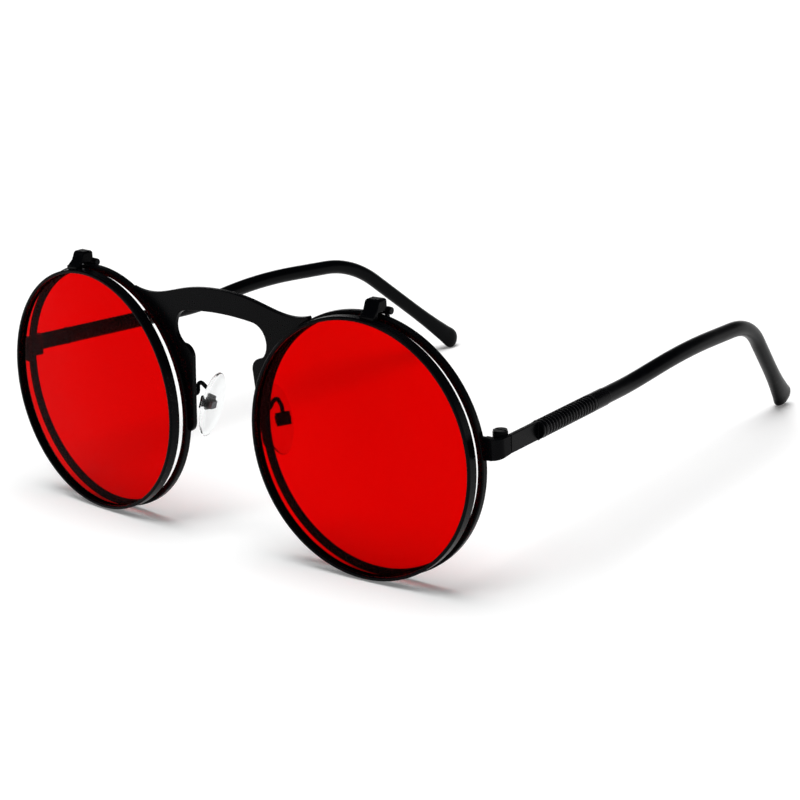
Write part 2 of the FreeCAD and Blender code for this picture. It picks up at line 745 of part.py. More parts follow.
def paddle(start, heading):
    """The flattened end of the tip, which widens and is twisted a little out of the upright."""
    level = heading.cross(Z_AXIS).normalize()
    upright = level.cross(heading).normalize()
    twist = radians(PADDLE_TWIST)
    wide = upright * cos(twist) + level * sin(twist)
    thin = level * cos(twist) - upright * sin(twist)
    sections = []
    for share in PADDLE_SHARES:
        swell = min(share / PADDLE_FULL, 1.0) ** 2
        close = max(share - PADDLE_FULL, 0.0) / (1 - PADDLE_FULL)
        close = sqrt(1 - close * close)
        half_wide = (TIP_R + (PADDLE_WIDE - TIP_R) * swell) * close
        half_thick = (TIP_R + (PADDLE_THICK - TIP_R) * swell) * close
        centre = start + heading * (share * PADDLE_LONG)
        sections.append(oval(centre, wide * half_wide, thin * half_thick))
    return Part.makeLoft(sections, True)


def temple_tip():
    """The round plastic tip: bowed along the head, bent down at the ear, flat at its end."""
    start = temple_point(COLLAR_END)
    bow_start = temple_point(COLLAR_END + 2 * ROD_INTO_TIP)
    heading = (TIP_END - EAR_BEND).normalize()
    neck = TIP_END - heading * PADDLE_LONG
    corners = [start, bow_start, TIP_BOW, EAR_BEND, neck]
    tube = swept(rounded_path(corners, [FIRST_BOW_R, BOW_R, BEND_R]), TIP_R)
    tip = tube.fuse(paddle(neck, heading)).removeSplitter()
    return tip.cut(temple_frame(tube_y(ROD_R + PIN_SEAT, SPRING_START, ROD_END + PIN_SEAT)))


def pad_frame(shape):
    """Sets a shape, built flat with its face to -X and its length along Z, at the left pad."""
    placed = shape.copy()
    placed.rotate(ORIGIN, Y_AXIS, -PAD_SPLAY)
    placed.rotate(ORIGIN, Z_AXIS, -PAD_TOE)
    placed.rotate(ORIGIN, X_AXIS, -PAD_TILT)
    placed.translate(PAD_CENTRE)
    return placed


def pad_oval(scale, depth):
    """An upright oval of the pad's outline, scaled, at a depth along X."""
    long_half = PAD_LONG / 2 * scale
    wide_half = PAD_WIDE / 2 * scale
    return oval(V(depth, 0, 0), V(0, 0, long_half), V(0, wide_half, 0))


def nose_pad():
    """The clear pad: a domed oval, thickest near its back, moulded round the mount's block."""
    pad = Part.makeLoft([pad_oval(scale, depth * PAD_THICK) for scale, depth in PAD_PROFILE], True)
    return pad_frame(pad.cut(plug_shape()))


def plug_shape():
    """The metal mount's block, from inside the pad to inside the box."""
    half = PLUG_WIDE / 2
    sunk_end = PAD_THICK / 2 - PLUG_SUNK
    return box(V(sunk_end, -half, -half), V(box_floor() - PAD_PLAY, half, half))


def box_mouth():
    return PAD_THICK / 2 + BOX_STAND


def box_floor():
    return box_mouth() + BOX_DEEP - BOX_WALL


def pad_mount():
    """The metal block moulded into the pad, which rocks on the pin in the box."""
    return pad_frame(plug_shape().cut(pad_pin_bore(PAD_PIN_R + RUNNING)))


def pad_pin_bore(radius):
    return tube_y(radius, -REACH, REACH).translated(V(pin_depth(), 0, 0))


def pin_depth():
    return box_mouth() + (BOX_DEEP - BOX_WALL) / 2


def pad_box():
    """The open metal box on the end of the pad arm."""
    half_wide = BOX_WIDE / 2
    half_tall = BOX_TALL / 2
    mouth = box_mouth()
    shell = box(V(mouth, -half_wide, -half_tall), V(mouth + BOX_DEEP, half_wide, half_tall))
    hollow = box(V(mouth, BOX_WALL - half_wide, BOX_WALL - half_tall),
                 V(box_floor(), half_wide - BOX_WALL, half_tall - BOX_WALL))
    return pad_frame(shell.cut(hollow).cut(pad_pin_bore(PAD_PIN_R + PIN_SEAT)))


def pad_pin():
    """The small cross pin of the box, with a head at its back end."""
    half = BOX_WIDE / 2
    pin = tube_y(PAD_PIN_R, -half, half + PAD_HEAD_LONG)
    head = tube_y(PAD_HEAD_R, half, half + PAD_HEAD_LONG)
    return pad_frame(pin.fuse(head).removeSplitter().translated(V(pin_depth(), 0, 0)))


def pad_arm():
    """The bent wire from the back of the bridge plate's web to the top of the box."""
    foot = V(box_mouth() + BOX_DEEP - PAD_WIRE_R, 0, BOX_TALL / 2)
    upright = pad_frame(Part.makeLine(foot, foot + V(0, 0, ARM_STRAIGHT)))
    end = upright.Vertexes[0].Point
    stand = upright.Vertexes[1].Point
    behind = ARM_ROOT + V(0, ARM_STRAIGHT, 0)
    corners = [ARM_ROOT, behind, ARM_TURN, stand, end]
    return swept(rounded_path(corners, [ARM_LOOP_R, ARM_LOOP_R, ARM_FOOT_R]), PAD_WIRE_R)


def build_nodes():
    nodes = {"bridge_plate": bridge_plate()}
    shared = {
        "rear_rim": rear_rim,
        "clear_lens": clear_lens,
        "flip_rim": flip_rim,
        "tinted_lens": tinted_lens,
    }
    handed = {
        "flip_lug": flip_lug,
        "flip_bracket": flip_bracket,
        "flip_screw": flip_screw,
    }
    mirrored = {
        "endpiece": endpiece,
        "front_hinge": front_hinge,
        "temple_pin": temple_pin,
        "rim_lock": rim_lock,
        "lock_screw": lock_screw,
        "temple_hinge": temple_hinge,
        "temple_bar": temple_bar,
        "temple_spring": temple_spring,
        "temple_collar": temple_collar,
        "temple_tip": temple_tip,
        "nose_pad": nose_pad,
        "pad_mount": pad_mount,
        "pad_box": pad_box,
        "pad_pin": pad_pin,
        "pad_arm": pad_arm,
    }
    for name, make in shared.items():
        shape = make()
        for word, side in SIDES.items():
            nodes[name + "_" + word] = set_at_lens(shape, side)
    for name, make in handed.items():
        for word, side in SIDES.items():
            nodes[name + "_" + word] = set_at_lens(make(side), side)
    for name, make in mirrored.items():
        shape = make()
        for word, side in SIDES.items():
            nodes[name + "_" + word] = to_side(shape, side)
    return nodes


def overall(nodes):
    """The tight bounding box of all the pieces."""
    whole = FreeCAD.BoundBox()
    for shape in nodes.values():
        whole.add(shape.optimalBoundingBox(False, False))
    return whole


def set_on_floor(nodes):
    """Moves the origin to the bottom centre of the whole object."""
    whole = overall(nodes)
    shift = V(-whole.Center.x, -whole.Center.y, -whole.ZMin)
    for shape in nodes.values():
        shape.translate(shift)
    return shift


def main():
    nodes = build_nodes()
    shift = set_on_floor(nodes)
    os.makedirs("parts", exist_ok=True)
    for name, shape in nodes.items():
        shape.exportStep("parts/" + name + ".step")
    whole = overall(nodes)
    size = (whole.XLength, whole.YLength, whole.ZLength)
    print("nodes %d, size %.2f x %.2f x %.2f mm" % (len(nodes), *size))
    print("origin moved by %.4f %.4f %.4f mm" % (shift.x, shift.y, shift.z))


main()
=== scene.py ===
# %% [markdown]
# # Flip up sunglasses
# The object is a pair of round metal sunglasses. A fixed front holds two clear lenses, and a second
# pair of rims with red lenses hangs in front of it on small hinges at the top. The temples fold, and
# each has a wound spring near its hinge. The solid model gives every piece its size and place, so this
# lesson loads it first, keeps its box for the size test, and then works on the looks.

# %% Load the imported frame
import json
import math
import bmesh
import bpy
from mathutils import Matrix, Vector

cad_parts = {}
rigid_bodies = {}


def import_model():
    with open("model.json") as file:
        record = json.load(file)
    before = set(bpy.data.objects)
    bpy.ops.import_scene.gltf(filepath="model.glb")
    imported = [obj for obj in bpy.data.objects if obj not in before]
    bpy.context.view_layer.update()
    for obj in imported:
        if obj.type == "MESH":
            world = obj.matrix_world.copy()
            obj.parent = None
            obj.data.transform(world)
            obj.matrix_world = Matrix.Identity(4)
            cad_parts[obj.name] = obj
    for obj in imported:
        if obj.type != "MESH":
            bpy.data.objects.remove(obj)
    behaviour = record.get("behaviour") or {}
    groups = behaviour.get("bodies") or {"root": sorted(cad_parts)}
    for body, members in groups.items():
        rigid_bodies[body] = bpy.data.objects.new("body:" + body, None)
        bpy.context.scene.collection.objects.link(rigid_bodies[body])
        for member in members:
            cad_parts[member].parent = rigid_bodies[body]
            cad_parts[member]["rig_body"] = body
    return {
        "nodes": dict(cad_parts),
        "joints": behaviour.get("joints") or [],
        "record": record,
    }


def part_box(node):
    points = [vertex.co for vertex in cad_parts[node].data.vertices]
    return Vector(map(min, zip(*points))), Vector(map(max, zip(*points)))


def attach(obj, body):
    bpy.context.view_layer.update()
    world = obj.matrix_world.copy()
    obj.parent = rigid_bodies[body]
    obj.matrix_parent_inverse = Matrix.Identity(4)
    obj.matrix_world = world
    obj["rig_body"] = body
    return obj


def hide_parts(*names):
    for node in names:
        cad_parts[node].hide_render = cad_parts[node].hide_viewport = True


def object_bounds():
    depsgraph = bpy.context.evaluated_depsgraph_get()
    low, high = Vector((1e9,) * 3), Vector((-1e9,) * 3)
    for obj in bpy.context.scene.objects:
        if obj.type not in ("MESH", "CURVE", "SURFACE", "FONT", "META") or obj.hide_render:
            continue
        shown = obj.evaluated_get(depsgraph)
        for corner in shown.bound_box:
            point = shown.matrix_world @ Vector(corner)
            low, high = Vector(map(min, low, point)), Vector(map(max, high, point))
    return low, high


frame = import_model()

CAD_LOW, CAD_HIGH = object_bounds()
NODES = frame["nodes"]
MM = 0.001


def in_mm(point):
    """A point or a size in millimetres, rounded for printing."""
    return [round(value / MM, 2) for value in point]


print("nodes", len(NODES), "size in mm", in_mm(CAD_HIGH - CAD_LOW))

# %% [markdown]
# ## Camera
# The picture was taken from the wearer's left front, a little above the lenses, with a slight roll.
# A camera can be aimed with a constraint, but the roll is easier to keep when the camera's own three
# directions are worked out from the two angles and the roll, and set as one matrix. The focal length is
# known in pixels of an 800 pixel picture, so the sensor's width turns it into millimetres.

# %% Camera at the photograph's angle
CAMERA_EYE = Vector((280.487, -330.965, 148.385)) * MM
CAMERA_AZIMUTH = math.radians(41.257)
CAMERA_ELEVATION = math.radians(17.487)
CAMERA_ROLL = math.radians(-3.351)
FOCAL_PIXELS = 2103.19
PICTURE_PIXELS = 800
SENSOR_WIDTH = 36.0
CLIP_NEAR = 0.01
CLIP_FAR = 20


def camera_matrix():
    """The camera's place, with its right, up and back directions as the columns of its turn."""
    level = Vector((math.cos(CAMERA_AZIMUTH), math.sin(CAMERA_AZIMUTH), 0))
    flat = math.cos(CAMERA_ELEVATION)
    back = Vector((
        math.sin(CAMERA_AZIMUTH) * flat,
        -math.cos(CAMERA_AZIMUTH) * flat,
        math.sin(CAMERA_ELEVATION),
    ))
    upright = back.cross(level)
    right = level * math.cos(CAMERA_ROLL) + upright * math.sin(CAMERA_ROLL)
    up = upright * math.cos(CAMERA_ROLL) - level * math.sin(CAMERA_ROLL)
    turn = Matrix((right, up, back)).transposed()
    return Matrix.Translation(CAMERA_EYE) @ turn.to_4x4()


camera_data = bpy.data.cameras.new("camera")
camera_data.sensor_width = SENSOR_WIDTH
camera_data.lens = SENSOR_WIDTH * FOCAL_PIXELS / PICTURE_PIXELS
camera_data.clip_start = CLIP_NEAR
camera_data.clip_end = CLIP_FAR
camera = bpy.data.objects.new("camera", camera_data)
camera.matrix_world = camera_matrix()
bpy.context.scene.collection.objects.link(camera)
bpy.context.scene.camera = camera
print("camera lens", round(camera_data.lens, 2), "mm")

# %% [markdown]
# ## Colours and nodes
# Colours are written as the hex values that a screen shows, and the shaders want linear light, so one
# function converts them. One more function adds a node, sets its properties, and sets or links its
# inputs, which keeps each material short enough to read from top to bottom. Patterns are sized in real
# millimetres, so every material starts from the Object coordinates in that unit.

# %% Helpers for materials
def colour(hex_value):
    """A hex colour as linear red, green and blue by the sRGB curve, with full alpha."""
    channels = [int(hex_value[i:i + 2], 16) / 255 for i in (1, 3, 5)]
    linear = [c / 12.92 if c <= 0.04045 else ((c + 0.055) / 1.055) ** 2.4 for c in channels]
    return (*linear, 1.0)


def shown(sockets, name):
    """The socket of that name, or number, that the node shows with its present settings."""
    if isinstance(name, int):
        return sockets[name]
    return [socket for socket in sockets if socket.name == name and socket.enabled][0]


def add(tree, kind, inputs, **settings):
    """Adds a node of a kind, sets its properties, and sets or links its inputs."""
    node = tree.nodes.new("ShaderNode" + kind)
    for name, value in settings.items():
        setattr(node, name, value)
    for name, value in inputs.items():
        if isinstance(value, bpy.types.NodeSocket):
            tree.links.new(value, shown(node.inputs, name))
        else:
            shown(node.inputs, name).default_value = value
    return node


def new_material(name):
    """An empty node material and its tree, with the Object coordinates in millimetres."""
    material = bpy.data.materials.new(name)
    material.use_nodes = True
    tree = material.node_tree
    tree.nodes.clear()
    place = add(tree, "TexCoord", {})
    millimetres = add(tree, "VectorMath", {"Vector": place.outputs["Object"], "Scale": 1 / MM},
                      operation="SCALE")
    return material, tree, millimetres.outputs["Vector"]


def finish_material(tree, shader):
    """Sends a shader to the material's output."""
    add(tree, "OutputMaterial", {"Surface": shader.outputs["BSDF"]})


print("mid grey is", round(colour("#808080")[0], 3), "in linear light")

# %% [markdown]
# ## Black lacquer on metal
# The rims, the bridge plate and the temple bars are stamped or drawn metal under a baked satin black
# lacquer. It is nearly black, with a faint cold cast, and its gloss is broad and low. Lacquer is never
# quite even: a slow cloud changes its depth by a shade, and a fine grain of about 0.3 mm breaks up the
# gloss. The grain is drawn coarser than the real one so that it shows in the picture. The spring wire
# has the same lacquer with a little more gloss, which sets its turns apart.

# %% Satin black lacquer
LACQUER_DARK = colour("#010102")
LACQUER_LIGHT = colour("#040507")
LACQUER_CLOUD_MM = 7.0
LACQUER_CLOUD_DETAIL = 3.0
LACQUER_GRAIN_MM = 0.3
LACQUER_GRAIN_DETAIL = 2.0
LACQUER_RELIEF_MM = 0.02
LACQUER_RELIEF_SHARE = 0.08
LACQUER_SMOOTH = 0.22
LACQUER_ROUGH = 0.32
LACQUER_GLOSS = 0.045
WIRE_GLOSS = 0.07


def satin_lacquer(name, gloss):
    material, tree, place = new_material(name)
    cloud = add(tree, "TexNoise", {
        "Vector": place,
        "Scale": 1 / LACQUER_CLOUD_MM,
        "Detail": LACQUER_CLOUD_DETAIL,
    })
    grain = add(tree, "TexNoise", {
        "Vector": place,
        "Scale": 1 / LACQUER_GRAIN_MM,
        "Detail": LACQUER_GRAIN_DETAIL,
    })
    tone = add(tree, "Mix", {
        "Factor": cloud.outputs["Fac"],
        "A": LACQUER_DARK,
        "B": LACQUER_LIGHT,
    }, data_type="RGBA")
    roughness = add(tree, "MapRange", {
        "Value": grain.outputs["Fac"],
        "To Min": LACQUER_SMOOTH,
        "To Max": LACQUER_ROUGH,
    })
    relief = add(tree, "Bump", {
        "Height": grain.outputs["Fac"],
        "Strength": LACQUER_RELIEF_SHARE,
        "Distance": LACQUER_RELIEF_MM * MM,
    })
    shader = add(tree, "BsdfPrincipled", {
        "Base Color": shown(tone.outputs, "Result"),
        "Roughness": roughness.outputs["Result"],
        "Normal": relief.outputs["Normal"],
        "Specular IOR Level": gloss,
    })
    finish_material(tree, shader)
    return material


LACQUER = satin_lacquer("satin_black_lacquer", LACQUER_GLOSS)
WIRE_LACQUER = satin_lacquer("satin_black_wire_lacquer", WIRE_GLOSS)
print("lacquer grain", LACQUER_GRAIN_MM, "mm")

# %% [markdown]
# ## Blackened steel, and plated steel in the pads
# The small screws and pins are turned steel that was blackened in a hot bath. The oxide is thin, so the
# metal still shines through it, darker than bare steel and with faint turning marks. The heads are so
# small that the marks are drawn as a fine noise, without a direction. The blocks inside the nose pads
# are nickel plated steel and stay bright, because clear plastic covers them.

# %% Blackened and plated steel
TURNING_MARK_MM = 0.15
TURNING_MARK_DETAIL = 1.0


def turned_steel(name, dark, light, smooth, rough):
    material, tree, place = new_material(name)
    marks = add(tree, "TexNoise", {
        "Vector": place,
        "Scale": 1 / TURNING_MARK_MM,
        "Detail": TURNING_MARK_DETAIL,
    })
    tone = add(tree, "Mix", {"Factor": marks.outputs["Fac"], "A": dark, "B": light}, data_type="RGBA")
    roughness = add(tree, "MapRange", {"Value": marks.outputs["Fac"], "To Min": smooth, "To Max": rough})
    shader = add(tree, "BsdfPrincipled", {
        "Base Color": shown(tone.outputs, "Result"),
        "Metallic": 1.0,
        "Roughness": roughness.outputs["Result"],
    })
    finish_material(tree, shader)
    return material


BLACKENED_STEEL = turned_steel("blackened_steel", dark=colour("#0e0f10"), light=colour("#1a1b1d"),
                               smooth=0.3, rough=0.42)
PLATED_STEEL = turned_steel("nickel_plated_steel", dark=colour("#4a4a4c"), light=colour("#666668"),
                            smooth=0.2, rough=0.32)
print("turning marks", TURNING_MARK_MM, "mm")

# %% [markdown]
# ## Red and clear lenses
# Both pairs of lenses are cast resin, polished and under a millimetre thick. The front pair is dyed in
# the mass, so it takes everything but red out of the light, and a white wall seen through it is plain red.
# A see-through surface could be mixed with alpha, but that would add white behind the red, so the
# shader transmits light and its base colour does the tinting. The lenses are coated against glare and
# hardly mirror, which a low IOR gives.

# %% Dyed and clear lens resin
COATED_LENS_IOR = 1.06
DYE_CLOUD_MM = 30.0
DYE_CLOUD_DETAIL = 0.0


def lens_resin(name, deep, pale):
    material, tree, place = new_material(name)
    cloud = add(tree, "TexNoise", {"Vector": place, "Scale": 1 / DYE_CLOUD_MM, "Detail": DYE_CLOUD_DETAIL})
    tone = add(tree, "Mix", {"Factor": cloud.outputs["Fac"], "A": deep, "B": pale}, data_type="RGBA")
    shader = add(tree, "BsdfPrincipled", {
        "Base Color": shown(tone.outputs, "Result"),
        "Roughness": 0.0,
        "IOR": COATED_LENS_IOR,
        "Transmission Weight": 1.0,
    })
    finish_material(tree, shader)
    return material


RED_RESIN = lens_resin("red_dyed_lens_resin", deep=colour("#cc0000"), pale=colour("#d80000"))
CLEAR_RESIN = lens_resin("clear_lens_resin", deep=colour("#fafcfc"), pale=colour("#fefefe"))
print("coated lens refracts by", COATED_LENS_IOR)

# %% [markdown]
# ## Clear soft plastic of the nose pads
# The pads are injection moulded soft vinyl. It is clear and a little cloudy, so an edge seen through
# its own width turns grey. A low roughness blurs what lies behind, and a fine orange peel from the
# mould bends the gloss. The IOR is lower than that of solid vinyl, because the pads in the photograph
# bend what lies behind them only a little.

# %% Moulded clear vinyl
VINYL_IOR = 1.22
VINYL_DEEP = colour("#eceeee")
VINYL_PALE = colour("#f7f8f8")
VINYL_PEEL_MM = 0.5
VINYL_PEEL_DETAIL = 1.0
VINYL_RELIEF_MM = 0.03
VINYL_RELIEF_SHARE = 0.1
VINYL_SMOOTH = 0.02
VINYL_ROUGH = 0.1


def clear_vinyl():
    material, tree, place = new_material("moulded_clear_vinyl")
    peel = add(tree, "TexNoise", {
        "Vector": place,
        "Scale": 1 / VINYL_PEEL_MM,
        "Detail": VINYL_PEEL_DETAIL,
    })
    tone = add(tree, "Mix", {
        "Factor": peel.outputs["Fac"],
        "A": VINYL_DEEP,
        "B": VINYL_PALE,
    }, data_type="RGBA")
    roughness = add(tree, "MapRange", {
        "Value": peel.outputs["Fac"],
        "To Min": VINYL_SMOOTH,
        "To Max": VINYL_ROUGH,
    })
    relief = add(tree, "Bump", {
        "Height": peel.outputs["Fac"],
        "Strength": VINYL_RELIEF_SHARE,
        "Distance": VINYL_RELIEF_MM * MM,
    })
    shader = add(tree, "BsdfPrincipled", {
        "Base Color": shown(tone.outputs, "Result"),
        "Roughness": roughness.outputs["Result"],
        "Normal": relief.outputs["Normal"],
        "IOR": VINYL_IOR,
        "Transmission Weight": 1.0,
    })
    finish_material(tree, shader)
    return material


VINYL = clear_vinyl()
print("vinyl refracts by", VINYL_IOR)

# %% [markdown]
# ## Black plastic of the temple tips
# The tips are moulded over the end of the rod in black acetate and tumbled smooth. The gloss is a little
# broader and brighter than that of the lacquer, with a soft line along the tube, and the tumbling leaves
# slow waves.

# %% Tumbled black acetate
ACETATE_DARK = colour("#010102")
ACETATE_LIGHT = colour("#030406")
ACETATE_WAVE_MM = 4.0
ACETATE_WAVE_DETAIL = 2.0
ACETATE_GRAIN_MM = 0.4
ACETATE_GRAIN_DETAIL = 1.0
ACETATE_RELIEF_MM = 0.02
ACETATE_RELIEF_SHARE = 0.05
ACETATE_SMOOTH = 0.24
ACETATE_ROUGH = 0.36
ACETATE_GLOSS = 0.055


def black_acetate():
    material, tree, place = new_material("tumbled_black_acetate")
    wave = add(tree, "TexNoise", {
        "Vector": place,
        "Scale": 1 / ACETATE_WAVE_MM,
        "Detail": ACETATE_WAVE_DETAIL,
    })
    grain = add(tree, "TexNoise", {
        "Vector": place,
        "Scale": 1 / ACETATE_GRAIN_MM,
        "Detail": ACETATE_GRAIN_DETAIL,
    })
    tone = add(tree, "Mix", {
        "Factor": wave.outputs["Fac"],
        "A": ACETATE_DARK,
        "B": ACETATE_LIGHT,
    }, data_type="RGBA")
    roughness = add(tree, "MapRange", {
        "Value": wave.outputs["Fac"],
        "To Min": ACETATE_SMOOTH,
        "To Max": ACETATE_ROUGH,
    })
    relief = add(tree, "Bump", {
        "Height": grain.outputs["Fac"],
        "Strength": ACETATE_RELIEF_SHARE,
        "Distance": ACETATE_RELIEF_MM * MM,
    })
    shader = add(tree, "BsdfPrincipled", {
        "Base Color": shown(tone.outputs, "Result"),
        "Roughness": roughness.outputs["Result"],
        "Normal": relief.outputs["Normal"],
        "Specular IOR Level": ACETATE_GLOSS,
    })
    finish_material(tree, shader)
    return material


ACETATE = black_acetate()
print("acetate waves", ACETATE_WAVE_MM, "mm")

# %% [markdown]
# ## Finishes on the solid model's pieces
# Each solid names the slot that its finish belongs to. A small table joins the slots to the materials
# above, and the plated blocks in the pads are the one exception.

# %% Give every solid its finish
SLOT_OF = {part["node"]: part["material_slot"] for part in frame["record"]["subparts"]}
FINISHES = {
    "black_metal": LACQUER,
    "spring_wire": WIRE_LACQUER,
    "dark_screw": BLACKENED_STEEL,
    "red_lens": RED_RESIN,
    "clear_lens": CLEAR_RESIN,
    "clear_pad": VINYL,
    "tip_plastic": ACETATE,
}


def finish_of(node):
    if node.startswith("pad_mount"):
        return PLATED_STEEL
    return FINISHES[SLOT_OF[node]]


for name, solid in NODES.items():
    solid.material_slots[0].material = finish_of(name)
print("finished solids", len(NODES))

# %% [markdown]
# ## Pieces that stand for solids
# The solids' own meshes are never changed. Where a piece needs softer edges, smoother faces or a finer
# form, a new mesh stands for the solid, with its finish and on its body. A copy starts from the solid's
# loose triangles, so it is welded first. The solid also stores a slope for every corner of a triangle,
# and because these no longer fit the new mesh, they are dropped.

# %% Helpers for pieces
WELD = 0.0005 * MM


def add_piece(name, bm, node):
    """Makes an object of a finished bmesh, which stands for a solid and takes its finish and body."""
    mesh = bpy.data.meshes.new(name)
    bm.to_mesh(mesh)
    bm.free()
    stored_slopes = mesh.attributes.get("custom_normal")
    if stored_slopes:
        mesh.attributes.remove(stored_slopes)
    mesh.materials.append(finish_of(node))
    mesh.shade_smooth()
    piece = bpy.data.objects.new(name, mesh)
    bpy.context.scene.collection.objects.link(piece)
    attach(piece, NODES[node]["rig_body"])
    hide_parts(node)
    return piece


def welded(node):
    """A bmesh of a solid with its loose triangles welded."""
    bm = bmesh.new()
    bm.from_mesh(NODES[node].data)
    bmesh.ops.remove_doubles(bm, verts=bm.verts, dist=WELD)
    return bm


print("triangles are welded at", round(WELD / MM, 5), "mm")

# %% [markdown]
# ## Eased edges
# Stamped and drawn metal never has a knife edge: it is tumbled before the lacquer, and the rounded edge
# is what catches the light. The solids have the true outlines with plain edges. A Bevel modifier could
# round them, but it would trip over the many triangles in each face. So the metal pieces in the table
# are copied, their triangles are joined into flat faces, and only then do the sharp edges get a small
# rounded bevel. Round wire, collars and screws stay as they are.

# %% Metal pieces with eased edges
FLAT = math.radians(0.5)
SHARP = math.radians(40)
EASE_SEGMENTS = 3
EASES_MM = {
    "bridge_plate": 0.16,
    "flip_rim": 0.18,
    "rear_rim": 0.15,
    "flip_lug": 0.2,
    "flip_bracket": 0.08,
    "endpiece": 0.14,
    "front_hinge": 0.08,
    "temple_hinge": 0.08,
    "temple_bar": 0.14,
    "pad_box": 0.08,
    "rim_lock": 0.08,
}


def sharp_edges(bm):
    return [e for e in bm.edges if len(e.link_faces) == 2 and e.calc_face_angle() > SHARP]


def eased(node, width):
    bm = welded(node)
    bmesh.ops.dissolve_limit(bm, angle_limit=FLAT, verts=bm.verts, edges=bm.edges, delimit=set())
    bmesh.ops.bevel(bm, geom=sharp_edges(bm), offset=width * MM, offset_type="OFFSET", affect="EDGES",
                    segments=EASE_SEGMENTS, profile=0.5, material=-1, clamp_overlap=False)
    piece = add_piece("eased_" + node, bm, node)
    piece.data.set_sharp_from_angle(angle=SHARP)
    piece.modifiers.new("flat faces stay flat", "WEIGHTED_NORMAL").keep_sharp = True
    return piece


for name in sorted(NODES):
    kind = name.removesuffix("_left").removesuffix("_right")
    if kind in EASES_MM:
        piece = eased(name, EASES_MM[kind])
        print(piece.name, len(piece.data.polygons), "faces")

# %% [markdown]
# ## Polished lenses
# The faces of a lens are parts of spheres, and in the solid's mesh their triangles meet in one point in
# the middle, with a sliver there that slopes the wrong way. On a polished lens that shows as a speck.
# The lenses are copied too: welding takes the sliver out, and smooth shading gives the faces even slopes.

# %% Lenses with even slopes
# The wearer's left lies towards +X.
SIDES = {"left": 1, "right": -1}
LENS_KINDS = ["tinted_lens", "clear_lens"]


def polished(node):
    piece = add_piece("polished_" + node, welded(node), node)
    piece.data.set_sharp_from_angle(angle=SHARP)
    return piece


for kind in LENS_KINDS:
    for word in SIDES:
        piece = polished(kind + "_" + word)
        print(piece.name, len(piece.data.polygons), "faces")

# %% [markdown]
# ## Temple springs
# The spring lies close wound between the ferrule of the bar and the collar, and its turns show as fine
# ridges. Seen from above, the temples run inwards as they go back, and they fall a little too. The
# spring is wound along a straight axis and then set on that line, which is measured from the collar
# behind it.

# %% The line of a temple
TEMPLE_INWARD = math.radians(6.5)
TEMPLE_FALL = math.radians(2.2)
COLLAR_LONG = 5.2 * MM
SPRING_LONG = 19.2 * MM


def middle(node):
    low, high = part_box(node)
    return (low + high) / 2


def temple_matrix(word, side):
    """The temple's straight line: Y runs back along it from the spring's front end."""
    turn = Matrix.Rotation(side * TEMPLE_INWARD, 4, "Z") @ Matrix.Rotation(-TEMPLE_FALL, 4, "X")
    to_front = turn @ Vector((0, COLLAR_LONG / 2 + SPRING_LONG, 0))
    return Matrix.Translation(middle("temple_collar_" + word) - to_front) @ turn


for word, side in SIDES.items():
    print(word, "spring starts at", in_mm(temple_matrix(word, side).translation), "mm")

# %% [markdown]
# A helix can be a curve with a round bevel, but a spin with a lift per step makes the same coil as a
# mesh in one operation, with the wire's section drawn a little wide along the temple so that the turns
# nearly touch, as they do on the real one. A flat turn at either end closes the coil, as on a spring
# with ground ends. The wire starts on the inner side, where the cut end is out of sight.

# %% Close wound springs
SPRING_RADIUS = 1.75 * MM
SPRING_TURNS = 17.5
END_TURNS = 1
WIRE_ACROSS = 0.62 * MM
WIRE_ALONG = 1.0 * MM
WIRE_SIDES = 12
WIRE_START = math.radians(125)
STEPS_PER_TURN = 36
# A circle of this radius is 1 wide, and a scale then gives it its real size.
UNIT_RADIUS = 0.5


def wire_section(bm):
    """The wire's oval section beside the rod, on the side of the temple that faces in and up."""
    verts = bmesh.ops.create_circle(bm, segments=WIRE_SIDES, radius=UNIT_RADIUS)["verts"]
    bmesh.ops.scale(bm, vec=(WIRE_ACROSS, WIRE_ALONG, 1), verts=verts)
    bmesh.ops.translate(bm, vec=(SPRING_RADIUS - WIRE_ACROSS / 2, WIRE_ALONG / 2, 0), verts=verts)
    bmesh.ops.rotate(bm, cent=(0, 0, 0), matrix=Matrix.Rotation(-WIRE_START, 3, "Y"), verts=verts)
    return bm.verts[:] + bm.edges[:]


def wind(bm, section, turns, rise):
    """Winds the wire on from a section, and gives back the section that it ends with."""
    steps = round(turns * STEPS_PER_TURN)
    wound = bmesh.ops.spin(bm, geom=section, cent=(0, 0, 0), axis=(0, 1, 0), dvec=(0, rise / steps, 0),
                           angle=2 * math.pi * turns, steps=steps, use_merge=False)
    return wound["geom_last"]


def wound_spring(word, side):
    bm = bmesh.new()
    front = wind(bm, wire_section(bm), END_TURNS, 0)
    back = wind(bm, front, SPRING_TURNS, SPRING_LONG - WIRE_ALONG)
    wind(bm, back, END_TURNS, 0)
    bmesh.ops.holes_fill(bm, edges=bm.edges, sides=0)
    place = temple_matrix(word, side) @ Matrix.Diagonal((side, 1, 1, 1))
    bmesh.ops.transform(bm, matrix=place, verts=bm.verts)
    bmesh.ops.recalc_face_normals(bm, faces=bm.faces)
    return add_piece("wound_spring_" + word, bm, "temple_spring_" + word)


for word, side in SIDES.items():
    piece = wound_spring(word, side)
    print(piece.name, len(piece.data.polygons), "faces")

# %% [markdown]
# ## Nose pads
# A nose pad is a small oval disc of clear vinyl. It rocks on a pin behind it, and it is turned three
# ways so that it lies flat on the side of a nose. The pad is made upright at the origin, and one matrix
# sets it in front of its pin. The right pad mirrors the left one.

# %% The place of a pad
PAD_SPLAY = math.radians(15)
PAD_TOE = math.radians(6)
PAD_TILT = math.radians(6)
PIN_BEHIND_PAD = 1.45 * MM
JOINT_PLACES = {joint["name"]: Vector(joint["pos_m"]) for joint in frame["joints"]}


